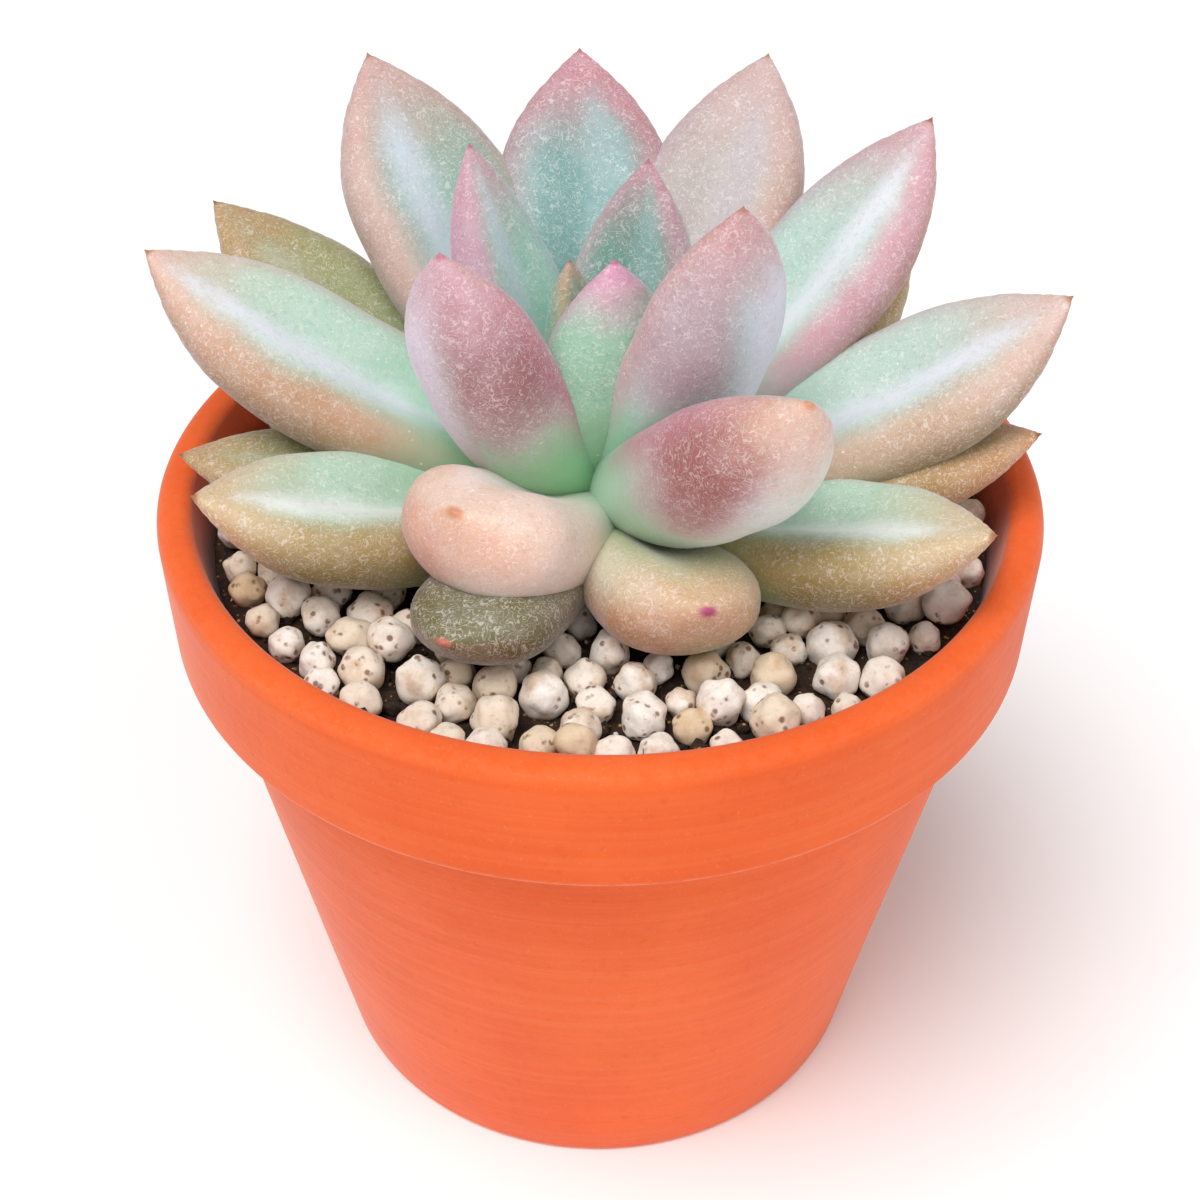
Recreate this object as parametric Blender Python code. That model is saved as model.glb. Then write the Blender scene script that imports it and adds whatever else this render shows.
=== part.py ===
"""A rosette succulent growing in a round clay pot.

The pot stands on the XY plane with the centre of its base at the origin. +Z is up, +X is to the right
and the front of the plant faces -Y. Every length is in metres and every angle in degrees.
"""
import math
from collections import namedtuple

import bmesh
import bpy
from mathutils import Vector
from mathutils.bvhtree import BVHTree

# ---------------------------------------------------------------- pot
POT_HEIGHT = 0.0806
RIM_RADIUS = 0.0500            # outside of the collar at the top
COLLAR_BOTTOM_RADIUS = 0.0496
COLLAR_HEIGHT = 0.0160
BODY_TOP_RADIUS = 0.0463       # body just under the collar
BASE_RADIUS = 0.0341
POT_WALL = 0.0034
POT_FLOOR = 0.0050
LIP_ROUNDING = 0.0019          # outside of the lip
INNER_LIP_ROUNDING = 0.0015
COLLAR_EDGE_ROUNDING = 0.0010
BASE_EDGE_ROUNDING = 0.0012
COLLAR_OVERLAP = 0.0002        # how far the body runs in under the collar's edge
DRAIN_HOLE_RADIUS = 0.0055
POT_SEGMENTS = 64
POT_SHARP_ANGLE = 40.0

# ---------------------------------------------------------------- soil and top dressing
SOIL_BELOW_RIM = 0.0066        # soil surface at the wall, below the top of the rim
SOIL_DISH = 0.0016             # how much lower the soil is at the stem than at the wall
SOIL_ROUGHNESS = 0.0002
SOIL_INNER_RINGS = 3
GRAIN_SIZE = 0.0050            # spacing of the lumps in the top dressing
GRAIN_BULGE = 0.45             # share of the depth that is the rounding of a lump
DRESSING_DEPTH = 0.0038        # from the soil to the top of a lump
DRESSING_MIN_DEPTH = 0.0006    # what is left of it under a leaf that lies on it
DRESSING_INNER_RADIUS = 0.0165
DRESSING_RINGS = 9

# ---------------------------------------------------------------- stem
STEM_OFFSET = -0.0035          # the plant stands a little forward of the pot's centre
STEM_RADIUS = 0.0036           # where it leaves the soil
STEM_TIP_RADIUS = 0.0012
STEM_DEPTH = 0.0060            # buried length
STEM_RISE = 0.0160             # length above the soil
STEM_SEGMENTS = 16

# ---------------------------------------------------------------- leaves
LEAF_SIDES = 12                # points round a section
LEAF_RINGS = 11                # sections between the neck and the tip
SPINE_STEPS = 96
LEAF_SHARP_ANGLE = 60.0
SPINE_CURL = 1.2               # how late along the leaf the upward curve comes
TIP_CROWDING = 1.2             # how much closer the sections stand towards the tip
UPPER_SHARE = 0.46             # share of the thickness above the margins
UPPER_ROUNDING = 0.75          # 1 is an ellipse, less is squarer
LOWER_ROUNDING = 0.9
CHANNEL_WIDTH = 0.42           # spread of the groove, as a share of the half width
CHANNEL_FULLEST = 0.8          # under 1 the groove is deepest before the middle

# ---------------------------------------------------------------- clearances
GAP = 0.0003                   # between pieces that touch
BED_GAP = 0.0004               # between the soil and the top dressing
LEAF_GAP = 0.0003              # between leaves that press on each other
WELD = 0.00002                 # points closer than this are one point

# A leaf grows from the stem at a height above the soil. Its spine starts at rise_start above the
# horizontal and curves up to rise_end at the tip. Roll turns the leaf about its spine, and lifts the
# margin on the left of someone looking out from the stem.
Leaf = namedtuple("Leaf", "name whorl azimuth roll height rise_start rise_end length width thickness")

# Shape of a whorl's leaves. Foot is where the spine starts, from the middle of the stem. Each profile
# is (where it is fullest, share left at the neck, how soon it swells, how blunt the tip is). Channel is
# the depth of the groove in the upper face, as a share of the thickness.
Whorl = namedtuple("Whorl", "foot width_profile thickness_profile channel")

WHORLS = {
    "heart": Whorl(0.0020, (0.50, 0.46, 0.75, 2.2), (0.42, 0.44, 0.75, 2.4), 0.20),
    "inner": Whorl(0.0030, (0.54, 0.44, 0.70, 3.0), (0.46, 0.40, 0.72, 2.8), 0.24),
    "front": Whorl(0.0030, (0.64, 0.42, 0.80, 3.4), (0.58, 0.38, 0.85, 3.0), 0.20),
    "outer": Whorl(0.0030, (0.62, 0.36, 0.95, 2.3), (0.50, 0.34, 0.85, 2.5), 0.30),
    "low": Whorl(0.0030, (0.60, 0.36, 0.85, 2.4), (0.52, 0.34, 0.85, 2.5), 0.30),
}

# Listed from the bud outward. Each leaf is hollowed where the ones listed before it press on it.
LEAVES = (
    Leaf("leaf_bud", "heart", 145, 0, 0.0166, 78, 90, 0.0195, 0.0070, 0.0050),
    Leaf("leaf_heart_01", "heart", 20, 0, 0.0166, 76, 90, 0.0130, 0.0060, 0.0040),
    Leaf("leaf_heart_02", "heart", 284, 0, 0.0116, 78, 92, 0.0285, 0.0150, 0.0085),
    Leaf("leaf_heart_03", "heart", 71, 0, 0.0116, 58, 78, 0.0328, 0.0138, 0.0085),
    Leaf("leaf_heart_04", "heart", 142, 0, 0.0106, 54, 78, 0.0380, 0.0128, 0.0090),
    Leaf("leaf_inner_01", "inner", 326, -22, 0.0096, 62, 82, 0.0412, 0.0160, 0.0112),
    Leaf("leaf_inner_02", "inner", 211, 26, 0.0098, 55, 77, 0.0372, 0.0152, 0.0122),
    Leaf("leaf_inner_03", "inner", 304, -32, 0.0101, 31, 56, 0.0430, 0.0154, 0.0130),
    Leaf("leaf_outer_01", "outer", 64, 0, 0.0096, 30, 50, 0.0525, 0.0190, 0.0110),
    Leaf("leaf_outer_02", "outer", 127, 0, 0.0096, 30, 49, 0.0545, 0.0208, 0.0110),
    Leaf("leaf_outer_03", "outer", 31, 8, 0.0096, 27, 57, 0.0520, 0.0168, 0.0110),
    Leaf("leaf_outer_04", "outer", 94, 0, 0.0096, 30, 50, 0.0510, 0.0208, 0.0110),
    Leaf("leaf_outer_05", "outer", 170, -10, 0.0086, 17, 40, 0.0535, 0.0182, 0.0122),
    Leaf("leaf_outer_06", "outer", 2, 10, 0.0086, 13, 44, 0.0530, 0.0190, 0.0122),
    Leaf("leaf_outer_07", "front", 238, 0, 0.0082, 11, 52, 0.0288, 0.0192, 0.0142),
    Leaf("leaf_low_01", "low", 148, 0, 0.0081, 12, 34, 0.0550, 0.0170, 0.0105),
    Leaf("leaf_low_02", "low", 38, 0, 0.0081, 12, 28, 0.0460, 0.0160, 0.0100),
    Leaf("leaf_low_03", "low", -30, 4, 0.0078, 2, 31, 0.0448, 0.0165, 0.0115),
    Leaf("leaf_low_04", "low", 201, -8, 0.0074, 2, 30, 0.0440, 0.0165, 0.0120),
    Leaf("leaf_low_05", "low", 68, 0, 0.0062, 8, 26, 0.0400, 0.0150, 0.0090),
    Leaf("leaf_low_06", "low", 125, 0, 0.0060, 6, 24, 0.0410, 0.0150, 0.0090),
    Leaf("leaf_low_07", "low", -4, 0, 0.0076, 5, 24, 0.0460, 0.0150, 0.0095),
    Leaf("leaf_low_08", "front", 291, -12, 0.0066, 0, 32, 0.0286, 0.0172, 0.0116),
    Leaf("leaf_low_09", "low", 181, 0, 0.0076, 2, 13, 0.0440, 0.0140, 0.0090),
    Leaf("leaf_low_10", "front", 243, 6, 0.0066, 1, 18, 0.0322, 0.0154, 0.0096),
    Leaf("leaf_low_11", "low", 97, 0, 0.0055, 3, 18, 0.0370, 0.0150, 0.0085),
)

# ---------------------------------------------------------------- colours
TERRACOTTA = (0.80, 0.22, 0.07, 1.0)
POTTING_SOIL = (0.035, 0.020, 0.012, 1.0)
DRESSING_CREAM = (0.80, 0.72, 0.62, 1.0)
STEM_GREEN = (0.30, 0.36, 0.20, 1.0)
LEAF_COLOURS = {
    "low": (0.45, 0.50, 0.26, 1.0),
    "outer": (0.60, 0.62, 0.56, 1.0),
    "inner": (0.72, 0.58, 0.60, 1.0),
    "front": (0.66, 0.56, 0.42, 1.0),
    "heart": (0.50, 0.72, 0.58, 1.0),
}


def clear_scene():
    for old in list(bpy.data.objects):
        bpy.data.objects.remove(old, do_unlink=True)


def material(name, colour, roughness):
    made = bpy.data.materials.get(name)
    if made is None:
        made = bpy.data.materials.new(name)
        made.use_nodes = True
        shader = made.node_tree.nodes["Principled BSDF"]
        shader.inputs["Base Color"].default_value = colour
        shader.inputs["Roughness"].default_value = roughness
        shader.inputs["Metallic"].default_value = 0.0
        made.diffuse_color = colour
    return made


def make_object(name, points, faces, finish, sharp_angle=POT_SHARP_ANGLE):
    """Turns points and faces into a smooth-shaded object."""
    mesh = bpy.data.meshes.new(name)
    mesh.from_pydata([tuple(point) for point in points], [], faces)
    mesh.validate()
    mesh.update()
    mesh.shade_smooth()
    mesh.set_sharp_from_angle(angle=math.radians(sharp_angle))
    mesh.materials.append(finish)
    made = bpy.data.objects.new(name, mesh)
    bpy.context.scene.collection.objects.link(made)
    return made


def ring_points(radius, height, centre_y=0.0):
    """A ring of points; height is a number or a function of x and y."""
    points = []
    for step in range(POT_SEGMENTS):
        angle = 2.0 * math.pi * step / POT_SEGMENTS
        x = radius * math.cos(angle)
        y = centre_y + radius * math.sin(angle)
        z = height(x, y) if callable(height) else height
        points.append(Vector((x, y, z)))
    return points


def ring_faces(ring_count, segments):
    """Quads between rings listed one after another, facing outward where the rings run up."""
    faces = []
    for ring in range(ring_count - 1):
        for step in range(segments):
            following = (step + 1) % segments
            low = ring * segments
            high = low + segments
            faces.append((low + step, low + following, high + following, high + step))
    return faces


def surface_tree(made):
    """A search tree over an object's triangles, in world space."""
    mesh = bmesh.new()
    mesh.from_mesh(made.data)
    bmesh.ops.triangulate(mesh, faces=mesh.faces)
    tree = BVHTree.FromBMesh(mesh)
    mesh.free()
    return tree


# ---------------------------------------------------------------- turned shapes
def arc(centre_r, centre_z, radius, start, end, steps):
    """Points of an arc in the (r, z) half plane."""
    points = []
    for step in range(steps + 1):
        angle = math.radians(start + (end - start) * step / steps)
        points.append((centre_r + radius * math.cos(angle), centre_z + radius * math.sin(angle)))
    return points


def turned(name, profile, finish, segments):
    """Turns a closed (r, z) outline about the Z axis. The outline runs up the outside."""
    mesh = bmesh.new()
    rings = []
    for radius, height in profile:
        ring = []
        for step in range(segments):
            angle = 2.0 * math.pi * step / segments
            ring.append(mesh.verts.new((radius * math.cos(angle), radius * math.sin(angle), height)))
        rings.append(ring)
    for lower, upper in zip(rings, rings[1:] + rings[:1]):
        for step in range(segments):
            following = (step + 1) % segments
            mesh.faces.new((lower[step], lower[following], upper[following], upper[step]))
    data = bpy.data.meshes.new(name)
    mesh.to_mesh(data)
    mesh.free()
    data.shade_smooth()
    data.set_sharp_from_angle(angle=math.radians(POT_SHARP_ANGLE))
    data.materials.append(finish)
    made = bpy.data.objects.new(name, data)
    bpy.context.scene.collection.objects.link(made)
    return made


def body_radius(height):
    """Outside radius of the pot's tapered body, carried on up inside the collar."""
    share = height / (POT_HEIGHT - COLLAR_HEIGHT)
    return BASE_RADIUS + (BODY_TOP_RADIUS - BASE_RADIUS) * share


def inner_radius(height):
    return body_radius(height) - POT_WALL


def make_pot():
    collar_bottom = POT_HEIGHT - COLLAR_HEIGHT
    profile = [(DRAIN_HOLE_RADIUS, 0.0)]
    profile += arc(BASE_RADIUS - BASE_EDGE_ROUNDING, BASE_EDGE_ROUNDING, BASE_EDGE_ROUNDING, -90, -5, 3)
    profile.append((body_radius(collar_bottom) - COLLAR_OVERLAP, collar_bottom))
    profile += arc(COLLAR_BOTTOM_RADIUS - COLLAR_EDGE_ROUNDING, collar_bottom + COLLAR_EDGE_ROUNDING,
                   COLLAR_EDGE_ROUNDING, -90, 0, 3)
    profile += arc(RIM_RADIUS - LIP_ROUNDING, POT_HEIGHT - LIP_ROUNDING, LIP_ROUNDING, 0, 90, 5)
    profile += arc(inner_radius(POT_HEIGHT) + INNER_LIP_ROUNDING, POT_HEIGHT - INNER_LIP_ROUNDING,
                   INNER_LIP_ROUNDING, 95, 180, 4)
    profile.append((inner_radius(POT_FLOOR + POT_WALL), POT_FLOOR + POT_WALL))
    profile.append((inner_radius(POT_FLOOR) - POT_WALL, POT_FLOOR))
    profile.append((DRAIN_HOLE_RADIUS, POT_FLOOR))
    return turned("pot", profile, material("terracotta", TERRACOTTA, 0.85), POT_SEGMENTS)


# ---------------------------------------------------------------- soil and top dressing
def soil_level(radius):
    """Mean height of the soil: dished towards the stem."""
    share = min(radius / inner_radius(POT_HEIGHT - SOIL_BELOW_RIM), 1.0)
    return POT_HEIGHT - SOIL_BELOW_RIM - SOIL_DISH * (1.0 - share ** 2)


def soil_height(x, y):
    """Height of the uneven soil surface at a point."""
    waves = math.sin(x * 410.0 + 1.3) * math.cos(y * 370.0) + 0.6 * math.sin((x - y) * 690.0 + 0.4)
    return soil_level(math.hypot(x, y)) + SOIL_ROUGHNESS * waves


def dressing_radii():
    """Radii of the rings that the soil surface and the top dressing share."""
    outer = inner_radius(POT_HEIGHT - SOIL_BELOW_RIM - SOIL_ROUGHNESS) - 2.0 * GAP
    step = (outer - DRESSING_INNER_RADIUS) / DRESSING_RINGS
    return [DRESSING_INNER_RADIUS + step * ring for ring in range(DRESSING_RINGS + 1)]


def make_soil():
    """The soil fills the pot, with a socket for the foot of the stem."""
    floor = POT_FLOOR + GAP
    above_fillet = POT_FLOOR + POT_WALL
    socket_radius = STEM_RADIUS + GAP
    radii = dressing_radii()
    rings = [
        ring_points(inner_radius(POT_FLOOR) - POT_WALL - 2.0 * GAP, floor),
        ring_points(inner_radius(above_fillet) - 2.0 * GAP, above_fillet + GAP),
    ]
    for radius in reversed(radii):
        rings.append(ring_points(radius, soil_height))
    for ring in range(1, SOIL_INNER_RINGS + 1):
        share = ring / SOIL_INNER_RINGS
        radius = DRESSING_INNER_RADIUS + (socket_radius - DRESSING_INNER_RADIUS) * share
        rings.append(ring_points(radius, soil_height, STEM_OFFSET * share))
    socket_floor = soil_level(0.0) - STEM_DEPTH - GAP
    rings.append(ring_points(socket_radius, socket_floor, STEM_OFFSET))
    points = [point for ring in rings for point in ring]
    faces = ring_faces(len(rings), POT_SEGMENTS)
    faces.append(tuple(reversed(range(POT_SEGMENTS))))
    last = (len(rings) - 1) * POT_SEGMENTS
    faces.append(tuple(range(last, last + POT_SEGMENTS)))
    return make_object("soil", points, faces, material("potting_soil", POTTING_SOIL, 0.95))


def lump_height(x, y):
    """Height above the soil of a close-packed layer of rounded grains."""
    row_height = GRAIN_SIZE * math.sqrt(3.0) / 2.0
    row = round(y / row_height)
    nearest = GRAIN_SIZE
    for other in (row - 1, row, row + 1):
        shift = 0.5 * GRAIN_SIZE * (other % 2)
        column = round((x - shift) / GRAIN_SIZE)
        distance = math.hypot(x - shift - column * GRAIN_SIZE, y - other * row_height)
        nearest = min(nearest, distance)
    bulge = math.sqrt(max(0.0, 1.0 - (1.5 * nearest / GRAIN_SIZE) ** 2))
    return DRESSING_DEPTH * (1.0 - GRAIN_BULGE * (1.0 - bulge))


def headroom(x, y, trees):
    """Free height above the soil, under whatever leaf lies over a point and close round it."""
    free = DRESSING_DEPTH * 2.0
    reach = GRAIN_SIZE * 0.4
    for offset_x, offset_y in ((0, 0), (reach, 0), (-reach, 0), (0, reach), (0, -reach)):
        start = Vector((x + offset_x, y + offset_y, soil_height(x, y)))
        for tree in trees:
            hit = tree.ray_cast(start, Vector((0.0, 0.0, 1.0)), DRESSING_DEPTH * 2.0)
            if hit[0] is not None:
                free = min(free, hit[3])
    return free


def make_top_dressing(leaf_trees):
    """One lumpy ring of grains on the soil, lower where a leaf rests on it."""
    radii = dressing_radii()
    rings = []
    for radius in radii:
        rings.append(ring_points(radius, lambda x, y: soil_height(x, y) + BED_GAP))
    for radius in reversed(radii):
        def top(x, y):
            room = headroom(x, y, leaf_trees) - BED_GAP - GAP
            depth = max(DRESSING_MIN_DEPTH, min(lump_height(x, y), room))
            return soil_height(x, y) + BED_GAP + depth
        rings.append(ring_points(radius, top))
    points = [point for ring in rings for point in ring]
    faces = ring_faces(len(rings), POT_SEGMENTS)
    last = (len(rings) - 1) * POT_SEGMENTS
    for step in range(POT_SEGMENTS):
        following = (step + 1) % POT_SEGMENTS
        faces.append((last + step, last + following, following, step))
    return make_object("top_dressing", points, faces, material("pumice_grain", DRESSING_CREAM, 0.9))


# ---------------------------------------------------------------- stem
def stem_radius(height):
    """Radius of the stem at a height above the soil."""
    share = min(max(height / STEM_RISE, 0.0), 1.0)
    return STEM_RADIUS + (STEM_TIP_RADIUS - STEM_RADIUS) * share


def stem_surface(margin):
    """Points and faces of the stem, grown by a margin all round."""
    base = soil_level(0.0)
    stations = (-STEM_DEPTH - margin, 0.0, STEM_RISE * 0.5, STEM_RISE + margin)
    points = []
    for height in stations:
        radius = stem_radius(height) + margin
        for step in range(STEM_SEGMENTS):
            angle = 2.0 * math.pi * step / STEM_SEGMENTS
            points.append(Vector((radius * math.cos(angle), STEM_OFFSET + radius * math.sin(angle),
                                  base + height)))
    faces = ring_faces(len(stations), STEM_SEGMENTS)
    faces.append(tuple(reversed(range(STEM_SEGMENTS))))
    last = (len(stations) - 1) * STEM_SEGMENTS
    faces.append(tuple(range(last, last + STEM_SEGMENTS)))
    return points, faces


def make_stem():
    make_object("stem", *stem_surface(0.0), material("stem_green", STEM_GREEN, 0.7))


# ---------------------------------------------------------------- leaves
def profile_share(t, profile):
    """Share of the full width or thickness at t, from the neck (0) to the tip (1)."""
    peak, neck, swell, blunt = profile
    if t < peak:
        return neck + (1.0 - neck) * math.sin((t / peak) ** swell * math.pi / 2.0)
    return max(0.0, 1.0 - ((t - peak) / (1.0 - peak)) ** blunt)


def leaf_frames(leaf):
    """Points, sideways directions and upward directions along a leaf's spine, neck to tip."""
    azimuth = math.radians(leaf.azimuth)
    outward = Vector((math.cos(azimuth), math.sin(azimuth), 0.0))
    foot = Vector((0.0, STEM_OFFSET, soil_level(0.0) + leaf.height))
    leftward = Vector((-outward.y, outward.x, 0.0))
    roll = math.radians(leaf.roll)
    centres = [foot + outward * WHORLS[leaf.whorl].foot]
    sides = []
    ups = []
    for step in range(SPINE_STEPS + 1):
        share = (step / SPINE_STEPS) ** SPINE_CURL
        rise = math.radians(leaf.rise_start + (leaf.rise_end - leaf.rise_start) * share)
        direction = outward * math.cos(rise) + Vector((0.0, 0.0, math.sin(rise)))
        if step > 0:
            centres.append(centres[-1] + (direction + before) * (0.5 * leaf.length / SPINE_STEPS))
        before = direction
        upward = Vector((0.0, 0.0, math.cos(rise))) - outward * math.sin(rise)
        sides.append(leftward * math.cos(roll) + upward * math.sin(roll))
        ups.append(upward * math.cos(roll) - leftward * math.sin(roll))
    return centres, sides, ups


def section_point(angle, half_width, thickness, channel):
    """A point of a leaf's section: (across, up), with a groove along the upper face."""
    cosine = math.cos(angle)
    sine = math.sin(angle)
    across = half_width * cosine
    if sine < 0.0:
        return across, (UPPER_SHARE - 1.0) * thickness * abs(sine) ** LOWER_ROUNDING
    groove = channel * thickness * math.exp(-(cosine / CHANNEL_WIDTH) ** 2)
    return across, UPPER_SHARE * thickness * abs(sine) ** UPPER_ROUNDING - groove


def leaf_surface(leaf, margin):
    """Points and faces of a whole leaf, grown by a margin all round."""
    whorl = WHORLS[leaf.whorl]
    spine, sides, ups = leaf_frames(leaf)
    rings = []
    for ring in range(LEAF_RINGS):
        t = 1.0 - (1.0 - ring / LEAF_RINGS) ** TIP_CROWDING
        step = round(t * SPINE_STEPS)
        half_width = 0.5 * leaf.width * profile_share(t, whorl.width_profile) + margin
        thickness = leaf.thickness * profile_share(t, whorl.thickness_profile) + 2.0 * margin
        channel = whorl.channel * math.sin(math.pi * t ** CHANNEL_FULLEST)
        points = []
        for corner in range(LEAF_SIDES):
            angle = 2.0 * math.pi * corner / LEAF_SIDES
            across, height = section_point(angle, half_width, thickness, channel)
            points.append(spine[step] + sides[step] * across + ups[step] * height)
        rings.append(points)
    points = [point for ring in rings for point in ring]
    points.append(spine[-1] + (spine[-1] - spine[-2]).normalized() * margin)
    faces = ring_faces(len(rings), LEAF_SIDES)
    faces.append(tuple(reversed(range(LEAF_SIDES))))
    last = (len(rings) - 1) * LEAF_SIDES
    for corner in range(LEAF_SIDES):
        faces.append((last + corner, last + (corner + 1) % LEAF_SIDES, len(points) - 1))
    return points, faces


def largest_piece(mesh):
    """Keeps the largest connected piece of a bmesh."""
    unseen = set(mesh.faces)
    pieces = []
    while unseen:
        piece = []
        front = [unseen.pop()]
        while front:
            face = front.pop()
            piece.append(face)
            for edge in face.edges:
                for other in edge.link_faces:
                    if other in unseen:
                        unseen.remove(other)
                        front.append(other)
        pieces.append(piece)
    pieces.sort(key=lambda piece: sum(face.calc_area() for face in piece))
    scraps = [face for piece in pieces[:-1] for face in piece]
    bmesh.ops.delete(mesh, geom=scraps, context="FACES")


def cut_away(made, cutter):
    """Takes a cutter out of an object and keeps the largest piece."""
    modifier = made.modifiers.new("cut", "BOOLEAN")
    modifier.operation = "DIFFERENCE"
    modifier.solver = "EXACT"
    modifier.object = cutter
    evaluated = made.evaluated_get(bpy.context.evaluated_depsgraph_get())
    mesh = bmesh.new()
    mesh.from_mesh(evaluated.data)
    made.modifiers.clear()
    bmesh.ops.remove_doubles(mesh, verts=mesh.verts, dist=WELD)
    bmesh.ops.dissolve_degenerate(mesh, edges=mesh.edges, dist=WELD)
    rims = [edge for edge in mesh.edges if edge.is_boundary]
    bmesh.ops.holes_fill(mesh, edges=rims, sides=0)
    bmesh.ops.triangulate(mesh, faces=mesh.faces)
    largest_piece(mesh)
    mesh.to_mesh(made.data)
    mesh.free()


def as_cutter(made):
    """An object that is only taken out of others, with its search tree."""
    made.hide_render = True
    made.display_type = "WIRE"
    return made, surface_tree(made)


def make_cutter(name, points, faces):
    return as_cutter(make_object(name, points, faces, material("cutter", POTTING_SOIL, 1.0)))


def make_wall_cutter():
    """The room taken by the top of the pot's wall, for leaves that would reach it."""
    bottom = POT_HEIGHT - COLLAR_HEIGHT
    profile = [(RIM_RADIUS + GAP, bottom)]
    profile += arc(RIM_RADIUS - LIP_ROUNDING, POT_HEIGHT - LIP_ROUNDING, LIP_ROUNDING + GAP, 0, 90, 5)
    profile += arc(inner_radius(POT_HEIGHT) + INNER_LIP_ROUNDING, POT_HEIGHT - INNER_LIP_ROUNDING,
                   INNER_LIP_ROUNDING + GAP, 95, 180, 4)
    profile.append((inner_radius(bottom) - GAP, bottom))
    return as_cutter(turned("wall_cutter", profile, material("cutter", POTTING_SOIL, 1.0), POT_SEGMENTS))


def make_bed_cutter():
    """The room taken by the soil and the thinnest layer of top dressing, under the low leaves."""
    clearance = 2.0 * SOIL_ROUGHNESS + BED_GAP + DRESSING_MIN_DEPTH + GAP
    radii = [inner_radius(POT_HEIGHT - SOIL_BELOW_RIM) * share for share in (1.0, 0.7, 0.4, 0.1)]
    rings = [ring_points(radii[0], POT_FLOOR)]
    for radius in radii:
        rings.append(ring_points(radius, soil_level(radius) + clearance))
    points = [point for ring in rings for point in ring]
    faces = ring_faces(len(rings), POT_SEGMENTS)
    faces.append(tuple(reversed(range(POT_SEGMENTS))))
    last = (len(rings) - 1) * POT_SEGMENTS
    faces.append(tuple(range(last, last + POT_SEGMENTS)))
    return make_cutter("bed_cutter", points, faces)


def make_leaves():
    """Every leaf, clear of the stem, the bed it rests on, the wall and the leaves listed before it."""
    cutters = [make_cutter("stem_cutter", *stem_surface(GAP)), make_bed_cutter(), make_wall_cutter()]
    trees = []
    for leaf in LEAVES:
        finish = material("leaf_" + leaf.whorl, LEAF_COLOURS[leaf.whorl], 0.6)
        made = make_object(leaf.name, *leaf_surface(leaf, 0.0), finish, LEAF_SHARP_ANGLE)
        for cutter, cutter_tree in cutters:
            if surface_tree(made).overlap(cutter_tree):
                cut_away(made, cutter)
        made.data.set_sharp_from_angle(angle=math.radians(LEAF_SHARP_ANGLE))
        trees.append(surface_tree(made))
        cutters.append(make_cutter(leaf.name + "_cutter", *leaf_surface(leaf, LEAF_GAP)))
    for cutter, _ in cutters:
        bpy.data.objects.remove(cutter, do_unlink=True)
    bpy.data.materials.remove(bpy.data.materials["cutter"])
    return trees


def build():
    clear_scene()
    make_pot()
    make_soil()
    make_stem()
    make_top_dressing(make_leaves())


build()
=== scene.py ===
"""Looks of a rosette succulent in a clay pot: leaves, pot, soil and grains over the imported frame.

Lengths are in metres, angles in degrees. +Z is up and the front of the plant faces -Y.
"""
import math
import random
from collections import namedtuple

import bmesh
import bpy
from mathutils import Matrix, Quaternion, Vector, noise
from mathutils.bvhtree import BVHTree


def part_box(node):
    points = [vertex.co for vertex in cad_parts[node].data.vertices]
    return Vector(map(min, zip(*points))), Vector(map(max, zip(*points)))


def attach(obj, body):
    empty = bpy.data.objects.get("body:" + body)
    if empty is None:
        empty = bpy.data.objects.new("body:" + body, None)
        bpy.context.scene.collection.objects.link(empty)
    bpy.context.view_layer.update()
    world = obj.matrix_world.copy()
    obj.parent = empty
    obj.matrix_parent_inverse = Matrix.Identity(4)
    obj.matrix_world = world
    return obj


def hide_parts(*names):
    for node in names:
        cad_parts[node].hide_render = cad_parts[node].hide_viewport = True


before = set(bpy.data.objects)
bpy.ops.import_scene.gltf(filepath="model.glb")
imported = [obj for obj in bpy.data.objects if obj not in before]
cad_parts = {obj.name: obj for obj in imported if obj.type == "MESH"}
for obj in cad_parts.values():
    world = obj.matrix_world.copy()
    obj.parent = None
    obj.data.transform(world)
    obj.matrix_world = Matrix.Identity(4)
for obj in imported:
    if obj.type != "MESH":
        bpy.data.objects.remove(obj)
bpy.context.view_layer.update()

# ---------------------------------------------------------------- sizes shared with the frame
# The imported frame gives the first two. The others repeat the CAD source's own values.
POT_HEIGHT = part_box("pot")[1][2]
RIM_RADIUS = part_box("pot")[1][0]
COLLAR_BOTTOM_RADIUS = 0.0496
COLLAR_HEIGHT = 0.0160
BODY_TOP_RADIUS = 0.0463
BASE_RADIUS = 0.0341
POT_WALL = 0.0034
POT_FLOOR = 0.0050
FLOOR_TURN = POT_FLOOR + POT_WALL
LIP_RADIUS = 0.0019
INNER_LIP_RADIUS = LIP_RADIUS * 0.8
BASE_ROUNDING = 0.0012
COLLAR_ROUNDING = 0.0010
DRAIN_HOLE_RADIUS = 0.0055
SOIL_BELOW_RIM = 0.0066
SOIL_DISH = 0.0016
STEM_OFFSET = -0.0035
SPINE_CURL = 1.2
UPPER_SHARE = 0.46
LOWER_SHARE = 0.54
UPPER_ROUNDING = 0.75
LOWER_ROUNDING = 0.9
CHANNEL_WIDTH = 0.42
CHANNEL_FULLEST = 0.8

Leaf = namedtuple("Leaf", "name whorl azimuth roll height rise_start rise_end length width thickness look")
Whorl = namedtuple("Whorl", "foot width_profile thickness_profile channel")

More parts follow.
